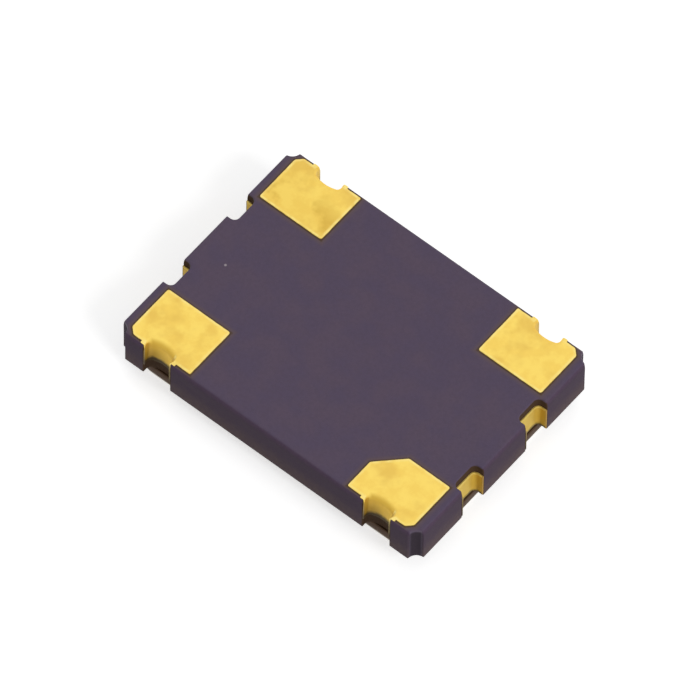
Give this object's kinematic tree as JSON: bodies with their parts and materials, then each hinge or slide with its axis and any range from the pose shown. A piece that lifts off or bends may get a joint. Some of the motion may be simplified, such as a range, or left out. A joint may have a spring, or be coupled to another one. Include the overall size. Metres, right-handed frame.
{
  "type": "crystal oscillator",
  "caption": "Surface-mount crystal oscillator in a flat rectangular ceramic package, lying on its metal lid with its gold solder pads and castellated slots up.",
  "frame": {"origin": "centre of the lid's outer face, the face that the part rests on", "axes": "+X along the long side, +Y along the short side, +Z out of the solder pads; pin 1 is in the +X, -Y corner"},
  "size_m": [0.007, 0.005, 0.0012],
  "materials": {
    "alumina": "matte dark alumina, fired",
    "gold_plating": "electroplated gold over nickel, satin",
    "braze": "silver-copper braze, satin",
    "plated_kovar": "gold-plated nickel-iron alloy, satin",
    "nickel_kovar": "nickel-plated nickel-iron alloy, satin",
    "quartz": "lapped and etched quartz",
    "electrode_film": "evaporated metal film",
    "silver_adhesive": "cured silver-filled adhesive",
    "silicon": "passivated silicon",
    "aluminium_pads": "bare metallisation",
    "gold_wire": "drawn gold wire"
  },
  "bodies": {
    "root": {"ceramic_body": "alumina", "terminal_enable": "gold_plating", "terminal_ground": "gold_plating", "terminal_output": "gold_plating", "terminal_supply": "gold_plating", "test_contact_1": "gold_plating", "test_contact_2": "gold_plating", "test_contact_3": "gold_plating", "test_contact_4": "gold_plating", "seal_braze": "braze", "seal_ring": "plated_kovar", "lid": "nickel_kovar", "crystal_blank": "quartz", "electrode_inner": "electrode_film", "electrode_outer": "electrode_film", "crystal_pad_1": "gold_plating", "crystal_pad_2": "gold_plating", "adhesive_dot_1": "silver_adhesive", "adhesive_dot_2": "silver_adhesive", "oscillator_die": "silicon", "die_attach": "silver_adhesive", "die_flag": "gold_plating", "die_bond_pads": "aluminium_pads", "bond_finger_1": "gold_plating", "bond_finger_2": "gold_plating", "bond_finger_3": "gold_plating", "bond_finger_4": "gold_plating", "bond_finger_5": "gold_plating", "bond_finger_6": "gold_plating", "bond_wire_1": "gold_wire", "bond_wire_2": "gold_wire", "bond_wire_3": "gold_wire", "bond_wire_4": "gold_wire", "bond_wire_5": "gold_wire", "bond_wire_6": "gold_wire"}
  },
  "joints": []
}
